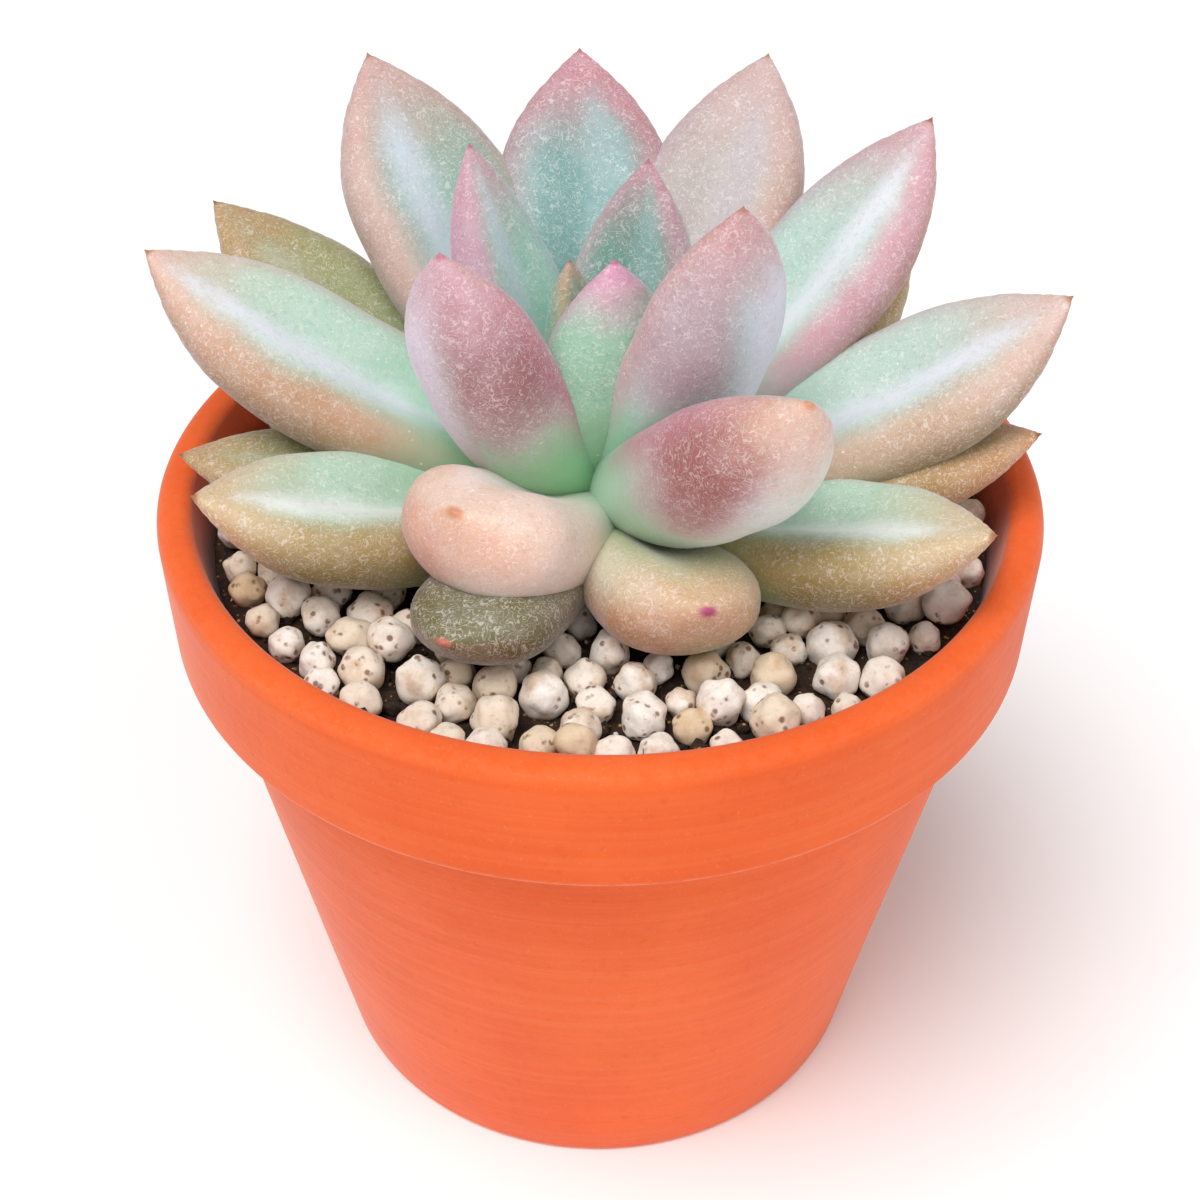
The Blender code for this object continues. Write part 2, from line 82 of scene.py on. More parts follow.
WHORLS = {
    "heart": Whorl(0.0020, (0.50, 0.46, 0.75, 2.2), (0.42, 0.44, 0.75, 2.4), 0.20),
    "inner": Whorl(0.0030, (0.54, 0.44, 0.70, 3.0), (0.46, 0.40, 0.72, 2.8), 0.24),
    "front": Whorl(0.0030, (0.64, 0.42, 0.80, 3.4), (0.58, 0.38, 0.85, 3.0), 0.20),
    "outer": Whorl(0.0030, (0.62, 0.36, 0.95, 2.3), (0.50, 0.34, 0.85, 2.5), 0.30),
    "low": Whorl(0.0030, (0.60, 0.36, 0.85, 2.4), (0.52, 0.34, 0.85, 2.5), 0.30),
}

LEAVES = (
    Leaf("leaf_bud", "heart", 145, 0, 0.0166, 78, 90, 0.0195, 0.0070, 0.0050, "bud"),
    Leaf("leaf_heart_01", "heart", 20, 0, 0.0166, 76, 90, 0.0130, 0.0060, 0.0040, "bud"),
    Leaf("leaf_heart_02", "heart", 284, 0, 0.0116, 78, 92, 0.0285, 0.0150, 0.0085, "heart_front"),
    Leaf("leaf_heart_03", "heart", 71, 0, 0.0116, 58, 78, 0.0328, 0.0138, 0.0085, "heart_back"),
    Leaf("leaf_heart_04", "heart", 142, 0, 0.0106, 54, 78, 0.0380, 0.0128, 0.0090, "heart_left"),
    Leaf("leaf_inner_01", "inner", 326, -22, 0.0096, 62, 82, 0.0412, 0.0160, 0.0112, "inner_pale"),
    Leaf("leaf_inner_02", "inner", 211, 26, 0.0098, 55, 77, 0.0372, 0.0152, 0.0122, "inner_rose"),
    Leaf("leaf_inner_03", "inner", 304, -32, 0.0101, 31, 56, 0.0430, 0.0154, 0.0130, "inner_deep"),
    Leaf("leaf_outer_01", "outer", 64, 0, 0.0096, 30, 50, 0.0525, 0.0190, 0.0110, "back_pale"),
    Leaf("leaf_outer_02", "outer", 127, 0, 0.0096, 30, 49, 0.0545, 0.0208, 0.0110, "back_beige"),
    Leaf("leaf_outer_03", "outer", 31, 8, 0.0096, 27, 57, 0.0520, 0.0168, 0.0110, "side_rose"),
    Leaf("leaf_outer_04", "outer", 94, 0, 0.0096, 30, 50, 0.0510, 0.0208, 0.0110, "back_rose"),
    Leaf("leaf_outer_05", "outer", 170, -10, 0.0086, 17, 40, 0.0535, 0.0182, 0.0122, "side_tan"),
    Leaf("leaf_outer_06", "outer", 2, 10, 0.0086, 13, 44, 0.0530, 0.0190, 0.0122, "side_beige"),
    Leaf("leaf_outer_07", "front", 238, 0, 0.0082, 11, 52, 0.0288, 0.0192, 0.0142, "front_peach"),
    Leaf("leaf_low_01", "low", 148, 0, 0.0081, 12, 34, 0.0550, 0.0170, 0.0105, "low_olive"),
    Leaf("leaf_low_02", "low", 38, 0, 0.0081, 12, 28, 0.0460, 0.0160, 0.0100, "low_cream"),
    Leaf("leaf_low_03", "low", -30, 4, 0.0078, 2, 31, 0.0448, 0.0165, 0.0115, "low_mint"),
    Leaf("leaf_low_04", "low", 201, -8, 0.0074, 2, 30, 0.0440, 0.0165, 0.0120, "low_mint"),
    Leaf("leaf_low_05", "low", 68, 0, 0.0062, 8, 26, 0.0400, 0.0150, 0.0090, "low_cream"),
    Leaf("leaf_low_06", "low", 125, 0, 0.0060, 6, 24, 0.0410, 0.0150, 0.0090, "low_olive"),
    Leaf("leaf_low_07", "low", -4, 0, 0.0076, 5, 24, 0.0460, 0.0150, 0.0095, "low_tan"),
    Leaf("leaf_low_08", "front", 291, -12, 0.0066, 0, 32, 0.0286, 0.0172, 0.0116, "front_gold"),
    Leaf("leaf_low_09", "low", 181, 0, 0.0076, 2, 13, 0.0440, 0.0140, 0.0090, "low_olive"),
    Leaf("leaf_low_10", "front", 243, 6, 0.0066, 1, 18, 0.0322, 0.0154, 0.0096, "front_olive"),
    Leaf("leaf_low_11", "low", 97, 0, 0.0055, 3, 18, 0.0370, 0.0150, 0.0085, "low_olive"),
)

# ---------------------------------------------------------------- detail of the visual model
SPINE_STEPS = 240
LEAF_SIDES = 44
LEAF_RINGS = 60
TIP_CROWDING = 1.35
TIP_SPUR = 0.0003
SKIN_SIDE = 0.00012  # how far the skin stands out past the CAD leaf, sideways
SKIN_DEPTH = 0.00020  # and in thickness
SKIN_WOBBLE = 0.00035
FRONT_ON_LEFT_COSINE = -0.55  # under this cosine of its azimuth, a leaf's left margin is nearer the front

POT_SEGMENTS = 192
CLAY_WOBBLE = 0.00016
INSIDE_DARK_DEPTH = 0.0070  # the inside is darkest and brownest below this depth under the rim
INSIDE_PLAIN_DEPTH = 0.0012
LIP_WEAR_BELOW_TOP = 0.0006
WEAR_REACH = 0.0012
COLLAR_PALE_LINE_HEIGHT = 0.0002
COLLAR_PALE_LINE_REACH = 0.0007

SOIL_SEGMENTS = 200
SOIL_RINGS = 64
SOIL_WALL_GAP = 0.0004
SOIL_BOTTOM = ((2.0 * POT_WALL, 0.0056), (POT_WALL + 0.0006, 0.0090))  # inset and height of its rings
SOIL_RELIEF = 0.0007
SOIL_SINK = 0.0002

MOST_GRAINS = 300
GRAIN_DROPS = 3 * MOST_GRAINS
PLACES_PER_DROP = 26
GRAIN_RADIUS = (0.0017, 0.0027)
GRAIN_PIECES = 3
GRAIN_WALL_GAP = 0.0003
GRAIN_LIP_GAP = 0.0002
LEAF_SEARCH = 0.02

# shares of a grain's radius: its centre over the soil, as it lies and at most, and its reach to a leaf
GRAIN_SEAT = 0.62
GRAIN_HIGHEST = 1.35
GRAIN_LEAF_REACH = 0.86
GRAIN_PACKING = 0.95  # distance of two touching grains, as a share of both radii

# a stone's own shape, as shares of its radius
LUMP_SHIFT = 0.02
FLAT_COUNT = 2
FLAT_DEPTH = (0.82, 0.96)
FLATTENING = 0.4

Crumb = namedtuple("Crumb", "piece count smallest largest slot node")
SOIL_CRUMBS = Crumb("soil_crumbs", 900, 0.00025, 0.0011, "potting_soil", "soil")
STONE_CHIPS = Crumb("stone_chips", 110, 0.0002, 0.0006, "pumice_grain", "top_dressing")
CRUMB_WALL_GAP = 0.0012

# ---------------------------------------------------------------- stage, light and camera values
FLOOR_HALF = 3.0
WORLD_STRENGTH = 0.34
Sun = namedtuple("Sun", "name direction spread strength")
SUNS = (
    Sun("key", (0.25, 0.30, -0.90), 38.0, 2.40),
    Sun("fill", (-0.60, 0.70, -0.40), 70.0, 0.85),
)
LENS = 61.05
SENSOR_WIDTH = 36.0
CAMERA_ELEVATION = 39.02
CAMERA_DISTANCE = 0.2435
CAMERA_TARGET = (0.0, 0.0, 0.0617)
CAMERA_ROLL = -0.0084  # radians

# ---------------------------------------------------------------- colours

# Colours of a leaf. Upper face: channel at the neck, channel further out, a pale crest on the side of the
# channel nearer the front (the real bloom there, lightened by a painted highlight), band along the front
# margin, far margin, tip. Under face: neck, middle, the side away from the front, tip, and a blush along
# the middle. Last is the dried spur at the very tip.
Look = namedtuple("Look", "neck channel crest band far tip "
                          "under_neck under_middle under_far under_tip blush spur")


def paint(code):
    """A colour from its usual six-digit screen code, as linear light."""
    parts = [int(code[place:place + 2], 16) / 255.0 for place in (0, 2, 4)]
    return tuple(c / 12.92 if c <= 0.04045 else ((c + 0.055) / 1.055) ** 2.4 for c in parts) + (1.0,)


LOOKS = {
    "bud": Look("94bc9e", "84b298", "a8c8b4", "b8ba98", "b0b896", "bd9a80",
                "90bc98", "8cb89c", "8cb89c", "bd9a80", "8cb89c", "a07050"),
    "heart_front": Look("98c4a4", "98c8ac", "b0d4c8", "bca4b0", "bca4b0", "d898b4",
                        "98c8a0", "98c8ac", "98c8ac", "d898b4", "98c8ac", "c86a90"),
    "heart_back": Look("74a48c", "74a094", "90b4b0", "b498a0", "c4a8b0", "c08c98",
                       "96c2a8", "a7bfb6", "a7bfb6", "cc96a4", "b0b4b0", "a86a70"),
    "heart_left": Look("88c0a8", "98c4b4", "c8dce4", "c8a0b0", "a8c8d0", "c498a4",
                       "96c6b4", "bfa9b4", "bfa9b4", "d09caa", "c890ac", "b07078"),
    "inner_pale": Look("90c4a8", "98bfb0", "cfd8e0", "c8a0a4", "c0b4bc", "c89490",
                       "94d0ac", "b8c8cc", "d8dcec", "c49496", "bca4ac", "b07868"),
    # inner_rose: its under_far colour, on the margin away from the front, is the leaf's pale lilac lightened
    # by a painted rim highlight.
    "inner_rose": Look("88c09c", "98bfb0", "d6ccd8", "bc7888", "c0a8b4", "cc9ca0",
                       "94cc9c", "c0b4b8", "dccce0", "cc9ca8", "a06c70", "c07884"),
    "inner_deep": Look("88c09c", "b8b0ac", "e0ccd8", "c07884", "d4b0b8", "d8b09c",
                       "a8d0b0", "d0bcc0", "dce8e0", "deb4a0", "a4605e", "d09070"),
    "back_pale": Look("a4b4a4", "b4a8a2", "ccc0c4", "c4a498", "c8b0b8", "c8a8a4",
                      "a8c0b0", "bca49c", "bca49c", "c8a096", "b8988e", "b88468"),
    "back_beige": Look("78ac94", "88ac9c", "d8e4f0", "c8a89c", "bc9c94", "c8a098",
                       "a0c0ac", "b89a90", "b89a90", "c4968a", "b48e82", "b47c60"),
    "side_rose": Look("88c0a4", "b0ccc0", "f4f6ff", "cc9aa4", "c8b0c0", "cc9ca4",
                      "a0b8a0", "b88a7c", "b88a7c", "cc8c80", "b07c6c", "a85c54"),
    "back_rose": Look("80a894", "78a4a0", "8cb0b0", "b48c90", "bc98a0", "c0848e",
                      "9cbca8", "b08880", "b08880", "c08480", "ac7e76", "b87078"),
    "side_tan": Look("84c49a", "b4d4c0", "f0f4ff", "be9474", "dcc8bc", "dcb4a4",
                     "a0c0a4", "a88664", "a0967a", "c08c70", "9c7454", "b87a58"),
    "side_beige": Look("88c0a0", "b4ccc0", "f0f4ff", "c4a48c", "d0c4c4", "d8b8ae",
                       "a0b8a0", "9c8860", "a49474", "c49480", "907850", "b47c64"),
    "front_peach": Look("a4c4a0", "ead4c8", "f4e6de", "d49c78", "dcc0b0", "e4c4b0",
                        "c8dcc8", "dcb4a2", "e6d0c6", "e0b098", "c87056", "d0906c"),
    "low_olive": Look("8cac78", "98a06c", "b8bc98", "a0905c", "b0a47c", "b49264",
                      "8ca064", "9c8c54", "9c8c54", "b4864e", "9a8448", "946038"),
    "low_cream": Look("a0b48c", "a8b48c", "d0ceb4", "b8a46c", "c8bc98", "c09868",
                      "9cac78", "b4a06c", "b4a06c", "bc9464", "b09860", "a06c44"),
    "low_mint": Look("80bc94", "acccb4", "f2f8f4", "a89058", "d4dccc", "ccb088",
                     "90b070", "8c7c40", "847438", "c49468", "807030", "a86c40"),
    "low_tan": Look("8ca470", "989868", "c0b890", "a4824c", "c0a880", "c49264",
                    "909e64", "9c8048", "a8864e", "c48258", "98743f", "9c5c38"),
    "front_gold": Look("98b478", "b4b080", "c4c09c", "d0c8ac", "c8bc98", "cca884",
                       "98a460", "b09c58", "a49850", "cca080", "c08858", "b04470"),
    "front_olive": Look("647838", "686438", "787458", "5c5028", "7c7460", "6c6438",
                        "565a28", "504818", "5c5428", "74582c", "54441c", "c46c54"),
}

random.seed(20)


# ---------------------------------------------------------------- node materials
class Finish:
    """A principled material and short ways to wire its nodes."""

    def __init__(self, name):
        self.material = bpy.data.materials.new(name)
        self.material.use_nodes = True
        self.tree = self.material.node_tree
        self.shader = self.tree.nodes["Principled BSDF"]
        self.place = self.add("ShaderNodeTexCoord").outputs["Object"]

    def add(self, kind, **settings):
        """A new node of a kind."""
        made = self.tree.nodes.new(kind)
        for name, value in settings.items():
            setattr(made, name, value)
        return made

    def feed(self, socket, value):
        """Links a socket to another, or gives it a constant."""
        if isinstance(value, bpy.types.NodeSocket):
            self.tree.links.new(value, socket)
        else:
            socket.default_value = value

    def attribute(self, name):
        return self.add("ShaderNodeAttribute", attribute_name=name).outputs["Fac"]

    def calc(self, operation, *values):
        made = self.add("ShaderNodeMath", operation=operation)
        for socket, value in zip(made.inputs, values):
            self.feed(socket, value)
        return made.outputs["Value"]

    def step(self, value, low, high):
        """0 below low and 1 above high, smooth between them."""
        made = self.add("ShaderNodeMapRange", interpolation_type="SMOOTHSTEP")
        self.feed(made.inputs["Value"], value)
        made.inputs["From Min"].default_value = low
        made.inputs["From Max"].default_value = high
        return made.outputs["Result"]

    def near(self, value, centre, reach):
        """1 where a value is at centre, falling to 0 at reach either side."""
        away = self.calc("ABSOLUTE", self.calc("SUBTRACT", value, centre))
        return self.calc("SUBTRACT", 1.0, self.step(away, 0.0, reach))

    def product(self, *values):
        result = values[0]
        for value in values[1:]:
            result = self.calc("MULTIPLY", result, value)
        return result

    def noise(self, scale, detail=3.0, roughness=0.55, distortion=0.0, vector=None):
        made = self.add("ShaderNodeTexNoise")
        self.feed(made.inputs["Vector"], vector or self.place)
        made.inputs["Scale"].default_value = scale
        made.inputs["Detail"].default_value = detail
        made.inputs["Roughness"].default_value = roughness
        made.inputs["Distortion"].default_value = distortion
        return made.outputs["Fac"]

    def cells(self, scale):
        """Distance to the nearest of a scatter of points."""
        made = self.add("ShaderNodeTexVoronoi")
        self.feed(made.inputs["Vector"], self.place)
        made.inputs["Scale"].default_value = scale
        return made.outputs["Distance"]

    def stretched(self, x, y, z):
        """The place on the object, scaled along each axis."""
        made = self.add("ShaderNodeMapping")
        self.feed(made.inputs["Vector"], self.place)
        made.inputs["Scale"].default_value = (x, y, z)
        return made.outputs["Vector"]

    def height(self):
        made = self.add("ShaderNodeSeparateXYZ")
        self.feed(made.inputs["Vector"], self.place)
        return made.outputs["Z"]

    def mix(self, factor, first, second, mode="MIX"):
        made = self.add("ShaderNodeMix", data_type="RGBA", blend_type=mode, clamp_factor=True)
        self.feed(made.inputs[0], factor)
        self.feed(made.inputs[6], first)
        self.feed(made.inputs[7], second)
        return made.outputs[2]

    def bump(self, height, distance, strength=1.0, under=None):
        made = self.add("ShaderNodeBump")
        made.inputs["Strength"].default_value = strength
        made.inputs["Distance"].default_value = distance
        self.feed(made.inputs["Height"], height)
        if under is not None:
            self.feed(made.inputs["Normal"], under)
        return made.outputs["Normal"]

    def done(self, colour, roughness, normal=None, **constants):
        """Wires the shader and gives back the material."""
        self.feed(self.shader.inputs["Base Color"], colour)
        self.feed(self.shader.inputs["Roughness"], roughness)
        if normal is not None:
            self.feed(self.shader.inputs["Normal"], normal)
        for name, value in constants.items():
            self.shader.inputs[name.replace("_", " ")].default_value = value
        return self.material


def leaf_finish(look_name):
    """Waxy leaf skin under a powdery bloom, coloured by place along and across the leaf."""
    look = Look(*[paint(code) for code in LOOKS[look_name]])
    finish = Finish("skin_" + look_name)
    along = finish.attribute("along")
    signed = finish.attribute("across")
    upper = finish.attribute("upper")
    clouds = finish.noise(95.0, 4.0, 0.6)
    blotches = finish.noise(330.0, 3.0, 0.6)
    grit = finish.noise(1500.0, 3.0, 0.7)
    drift = finish.calc("SUBTRACT", clouds, 0.5)
    t = finish.calc("MULTIPLY_ADD", drift, 0.30, along)
    side = finish.calc("MULTIPLY_ADD", drift, 0.36, signed)

    # upper face
    face = finish.mix(finish.step(t, 0.10, 0.60), look.neck, look.channel)
    near_band = finish.product(finish.step(side, 0.38, 0.86), finish.step(t, 0.12, 0.50))
    far_band = finish.product(finish.step(side, -0.45, -1.0), finish.step(t, 0.25, 0.60), 0.75)
    face = finish.mix(near_band, face, look.band)
    face = finish.mix(far_band, face, look.far)
    face = finish.mix(finish.step(t, 0.66, 1.0), face, look.tip)
    # Painted highlight: a pale streak along the crest nearer the front, over the real bloom there.
    crest = finish.product(finish.near(side, 0.26, 0.44), finish.step(t, 0.18, 0.42),
                           finish.calc("SUBTRACT", 1.0, finish.step(t, 0.74, 1.0)), 0.85)
    face = finish.mix(crest, face, look.crest)

    # under face
    back = finish.mix(finish.step(t, 0.28, 0.62), look.under_neck, look.under_middle)
    blush = finish.product(finish.step(t, 0.38, 0.68), finish.step(side, -0.10, 0.50))
    back = finish.mix(blush, back, look.blush)
    # The side away from the front. For inner_rose its colour is partly a painted rim highlight.
    away = finish.product(finish.step(side, 0.20, -0.30), finish.step(t, 0.20, 0.50),
                          finish.step(t, 1.0, 0.75))
    back = finish.mix(away, back, look.under_far)
    back = finish.mix(finish.step(t, 0.72, 1.0), back, look.under_tip)
    colour = finish.mix(finish.step(upper, 0.15, 0.85), back, face)

    # A powdery bloom lies over it: pale where thick, with brown pores, light curling strokes and specks.
    bloom = finish.product(finish.step(finish.noise(210.0, 5.0, 0.7), 0.40, 0.76), 0.12)
    colour = finish.mix(bloom, colour, paint("f2f3f8"))
    blushed = finish.step(t, 0.28, 0.62)
    pores = finish.product(finish.step(grit, 0.50, 0.70), 0.18, blushed)
    colour = finish.mix(pores, colour, finish.mix(1.0, colour, paint("a87868"), "MULTIPLY"))
    curl = finish.near(finish.noise(1350.0, 0.0, 0.5, 1.4), 0.5, 0.07)
    curls = finish.product(curl, blushed, 0.34)
    colour = finish.mix(curls, colour, paint("fdf6f2"))
    specks = finish.product(finish.step(finish.cells(700.0), 0.13, 0.07),
                            finish.step(blotches, 0.52, 0.60), 0.45)
    colour = finish.mix(specks, colour, paint("fffaf4"))

    colour = finish.mix(finish.step(along, 0.982, 0.997), colour, look.spur)

    relief = finish.calc("MULTIPLY_ADD", curl, 0.35, finish.calc("MULTIPLY", grit, 0.8))
    normal = finish.bump(blotches, 0.00016, 0.5)
    normal = finish.bump(relief, 0.00007, 0.6, normal)
    roughness = finish.calc("MULTIPLY_ADD", clouds, 0.20, 0.42)
    return finish.done(colour, roughness, normal,
                       Subsurface_Weight=0.10, Subsurface_Radius=(0.004, 0.003, 0.002),
                       Subsurface_Scale=0.6,
                       Sheen_Weight=0.36, Sheen_Roughness=0.40, Sheen_Tint=(0.94, 0.93, 1.0, 1.0))


def clay_finish():
    """Unglazed red clay: fine tooth, turning marks, paler edges, darker and browner deeper inside."""
    finish = Finish("terracotta_skin")
    inside = finish.attribute("inside")
    edge = finish.attribute("edge")
    clouds = finish.noise(42.0, 4.0, 0.55)
    tooth = finish.noise(2600.0, 3.0, 0.7)
    grain = finish.noise(700.0, 4.0, 0.65)
    turning = finish.noise(60.0, 4.0, 0.6, vector=finish.stretched(0.12, 0.12, 14.0))
    colour = finish.mix(finish.step(clouds, 0.30, 0.72), paint("e65c22"), paint("f0672a"))
    colour = finish.mix(finish.product(finish.step(turning, 0.45, 0.72), 0.18), colour, paint("f48252"))
    colour = finish.mix(finish.product(finish.step(grain, 0.56, 0.72), 0.22), colour, paint("c84f22"))
    colour = finish.mix(finish.product(finish.step(tooth, 0.58, 0.74), 0.22), colour, paint("fba078"))
    # Paler where the clay is worn on the lip and the base, and in a thin pale line along the foot of the
    # collar.
    pale_edges = finish.product(edge, finish.step(grain, 0.30, 0.62), 0.55)
    colour = finish.mix(pale_edges, colour, paint("fbb48e"))
    # Darker and browner deeper inside the pot, in patches.
    near_rim = finish.step(finish.height(), POT_HEIGHT - INSIDE_DARK_DEPTH, POT_HEIGHT - INSIDE_PLAIN_DEPTH)
    darker_inside = finish.product(inside, finish.calc("SUBTRACT", 1.0, near_rim), finish.step(clouds, 0.15, 0.6), 0.70)
    colour = finish.mix(darker_inside, colour, paint("8f4322"))
    normal = finish.bump(turning, 0.00022, 0.35)
    normal = finish.bump(grain, 0.00014, 0.5, normal)
    normal = finish.bump(tooth, 0.00006, 0.6, normal)
    roughness = finish.calc("MULTIPLY_ADD", grain, 0.15, 0.72)
    return finish.done(colour, roughness, normal,
                       Sheen_Weight=0.22, Sheen_Roughness=0.4, Specular_IOR_Level=0.2)


def soil_finish():
    """Dark crumbly soil with bark fibres and pale flecks."""
    finish = Finish("potting_soil_crumb")
    crumbs = finish.noise(900.0, 6.0, 0.75)
    fibres = finish.noise(420.0, 4.0, 0.7, 1.5)
    colour = finish.mix(finish.step(crumbs, 0.35, 0.70), paint("140a06"), paint("4a2c16"))
    colour = finish.mix(finish.product(finish.step(fibres, 0.60, 0.70), 0.8), colour, paint("7c4c24"))
    flecks = finish.product(finish.step(finish.cells(1100.0), 0.26, 0.16), finish.step(crumbs, 0.48, 0.56))
    colour = finish.mix(flecks, colour, paint("cfa468"))
    normal = finish.bump(crumbs, 0.0006, 0.9)
    return finish.done(colour, finish.calc("MULTIPLY_ADD", crumbs, 0.3, 0.6), normal)


def grain_finish():
    """Cream volcanic grains with brown pits, rust stains and a dusty surface."""
    finish = Finish("pumice_grain_skin")
    tint = finish.attribute("tint")
    clouds = finish.noise(260.0, 4.0, 0.6)
    dust = finish.noise(1500.0, 5.0, 0.7)
    pores = finish.step(finish.cells(900.0), 0.40, 0.18)
    pits = finish.product(pores, finish.step(finish.noise(420.0, 3.0, 0.6), 0.48, 0.60))
    colour = finish.mix(tint, paint("f6eee6"), paint("e0c8a8"))
    colour = finish.mix(finish.product(finish.step(clouds, 0.46, 0.70), 0.60), colour, paint("c69c70"))
    colour = finish.mix(finish.product(finish.step(dust, 0.48, 0.70), 0.28), colour, paint("b4967a"))
    colour = finish.mix(finish.product(pits, 0.85), colour, paint("7c4e2a"))
    relief = finish.calc("SUBTRACT", dust, finish.calc("MULTIPLY", pits, 1.2))
    normal = finish.bump(relief, 0.00012, 0.7)
    return finish.done(colour, 0.86, normal, Subsurface_Weight=0.05, Subsurface_Radius=(0.001, 0.001, 0.0008))


def stem_finish():
    """Green-brown bark in faint rings."""
    finish = Finish("stem_bark")
    rings = finish.noise(300.0, 3.0, 0.6, vector=finish.stretched(0.4, 0.4, 3.0))
    colour = finish.mix(finish.step(rings, 0.35, 0.65), paint("7f8f5c"), paint("b0a476"))
    return finish.done(colour, 0.7, finish.bump(rings, 0.0003, 0.6))


# ---------------------------------------------------------------- meshes
def new_piece(name, points, faces, finish, nodes, attributes=None):
    """A smooth mesh piece that rides on the pot and stands for the named CAD nodes."""
    mesh = bpy.data.meshes.new(name)
    mesh.from_pydata([tuple(point) for point in points], [], faces)
    mesh.update()
    mesh.shade_smooth()
    for key, values in (attributes or {}).items():
        mesh.attributes.new(key, "FLOAT", "POINT").data.foreach_set("value", values)
    mesh.materials.append(finish)
    piece = bpy.data.objects.new(name, mesh)
    bpy.context.scene.collection.objects.link(piece)
    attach(piece, "root")
    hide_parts(*nodes)


def ring_faces(ring_count, segments):
    """Quads between rings of points that follow each other."""
    faces = []
    for ring in range(ring_count - 1):
        for step in range(segments):
            following = (step + 1) % segments
            low = ring * segments
            high = low + segments
            faces.append((low + step, low + following, high + following, high + step))
    return faces


def profile_share(t, profile):
    """Width or thickness at a share of the leaf's length, as a share of its fullest."""
    peak, neck, swell, blunt = profile
    if t < peak:
        return neck + (1.0 - neck) * math.sin((t / peak) ** swell * math.pi / 2.0)
    return max(0.0, 1.0 - ((t - peak) / (1.0 - peak)) ** blunt)


def soil_level(radius):
    """Height of the smooth, dished soil at a distance from the middle."""
    share = min(radius / (BODY_TOP_RADIUS - POT_WALL), 1.0)
    return POT_HEIGHT - SOIL_BELOW_RIM - SOIL_DISH * (1.0 - share ** 2)


def leaf_spine(leaf, steps):
    """Points, sideways, upward and forward directions along a leaf's spine."""
    azimuth = math.radians(leaf.azimuth)
    roll = math.radians(leaf.roll)
    outward = Vector((math.cos(azimuth), math.sin(azimuth), 0.0))
    leftward = Vector((-outward.y, outward.x, 0.0))
    foot = Vector((0.0, STEM_OFFSET, soil_level(0.0) + leaf.height))
    centre = foot + outward * WHORLS[leaf.whorl].foot
    stations = []
    for step in range(steps + 1):
        share = (step / steps) ** SPINE_CURL
        rise = math.radians(leaf.rise_start + (leaf.rise_end - leaf.rise_start) * share)
        forward = outward * math.cos(rise) + Vector((0.0, 0.0, math.sin(rise)))
        if step > 0:
            centre = centre + (forward + before) * (0.5 * leaf.length / steps)
        before = forward
        upward = Vector((0.0, 0.0, math.cos(rise))) - outward * math.sin(rise)
        side = leftward * math.cos(roll) + upward * math.sin(roll)
        up = upward * math.cos(roll) - leftward * math.sin(roll)
        stations.append((centre, side, up, forward))
    return stations


def make_leaf(leaf, finish):
    """A plump leaf with a channel between two soft crests, a blunt margin and a tiny spur."""
    whorl = WHORLS[leaf.whorl]
    stations = leaf_spine(leaf, SPINE_STEPS)
    seed = Vector((leaf.azimuth * 0.37, leaf.length * 900.0, leaf.height * 700.0))
    front = -1.0 if math.cos(math.radians(leaf.azimuth)) > FRONT_ON_LEFT_COSINE else 1.0
    points = []
    values = {"along": [], "across": [], "upper": []}
    for ring in range(LEAF_RINGS):
        t = 1.0 - (1.0 - ring / LEAF_RINGS) ** TIP_CROWDING
        centre, side, up, _ = stations[round(t * SPINE_STEPS)]
        half_width = 0.5 * leaf.width * profile_share(t, whorl.width_profile) + SKIN_SIDE
        thickness = leaf.thickness * profile_share(t, whorl.thickness_profile) + SKIN_DEPTH
        channel = whorl.channel * math.sin(math.pi * t ** CHANNEL_FULLEST)
        for corner in range(LEAF_SIDES):
            angle = 2.0 * math.pi * corner / LEAF_SIDES
            cosine, sine = math.cos(angle), math.sin(angle)
            if sine < 0.0:
                height = -LOWER_SHARE * thickness * abs(sine) ** LOWER_ROUNDING
            else:
                dip = channel * math.exp(-(cosine / CHANNEL_WIDTH) ** 2)
                height = thickness * (UPPER_SHARE * abs(sine) ** UPPER_ROUNDING - dip)
            point = centre + side * (half_width * cosine) + up * height
            fade = math.sin(math.pi * min(1.0, t * 1.02))
            wobble = noise.noise(point * 140.0 + seed) * SKIN_WOBBLE * fade
            points.append(point + (side * cosine + up * sine) * wobble)
            values["along"].append(t)
            values["across"].append(cosine * front)
            values["upper"].append(0.5 + 0.5 * max(-1.0, min(1.0, sine * 2.5)))
    centre, _, _, forward = stations[-1]
    points.append(centre + forward * TIP_SPUR)
    values["along"].append(1.0)
    values["across"].append(0.0)
    values["upper"].append(0.5)
    faces = ring_faces(LEAF_RINGS, LEAF_SIDES)
    faces.append(tuple(reversed(range(LEAF_SIDES))))
    last = (LEAF_RINGS - 1) * LEAF_SIDES
    for corner in range(LEAF_SIDES):
        faces.append((last + corner, last + (corner + 1) % LEAF_SIDES, len(points) - 1))
    new_piece("visual_" + leaf.name, points, faces, finish, [leaf.name], values)


def arc(centre_r, centre_z, radius, start, end, steps):
    """Points (r, z) along an arc between two angles."""
    points = []
    for step in range(steps + 1):
        angle = math.radians(start + (end - start) * step / steps)
        points.append((centre_r + radius * math.cos(angle), centre_z + radius * math.sin(angle)))
    return points


def body_radius(height):
    """Outer radius of the tapered pot body."""
    share = height / (POT_HEIGHT - COLLAR_HEIGHT)
    return BASE_RADIUS + (BODY_TOP_RADIUS - BASE_RADIUS) * share


def straight(start, end, steps):
    """Points between two (r, z) places, without the first."""
    return [(start[0] + (end[0] - start[0]) * step / steps, start[1] + (end[1] - start[1]) * step / steps)
            for step in range(1, steps + 1)]


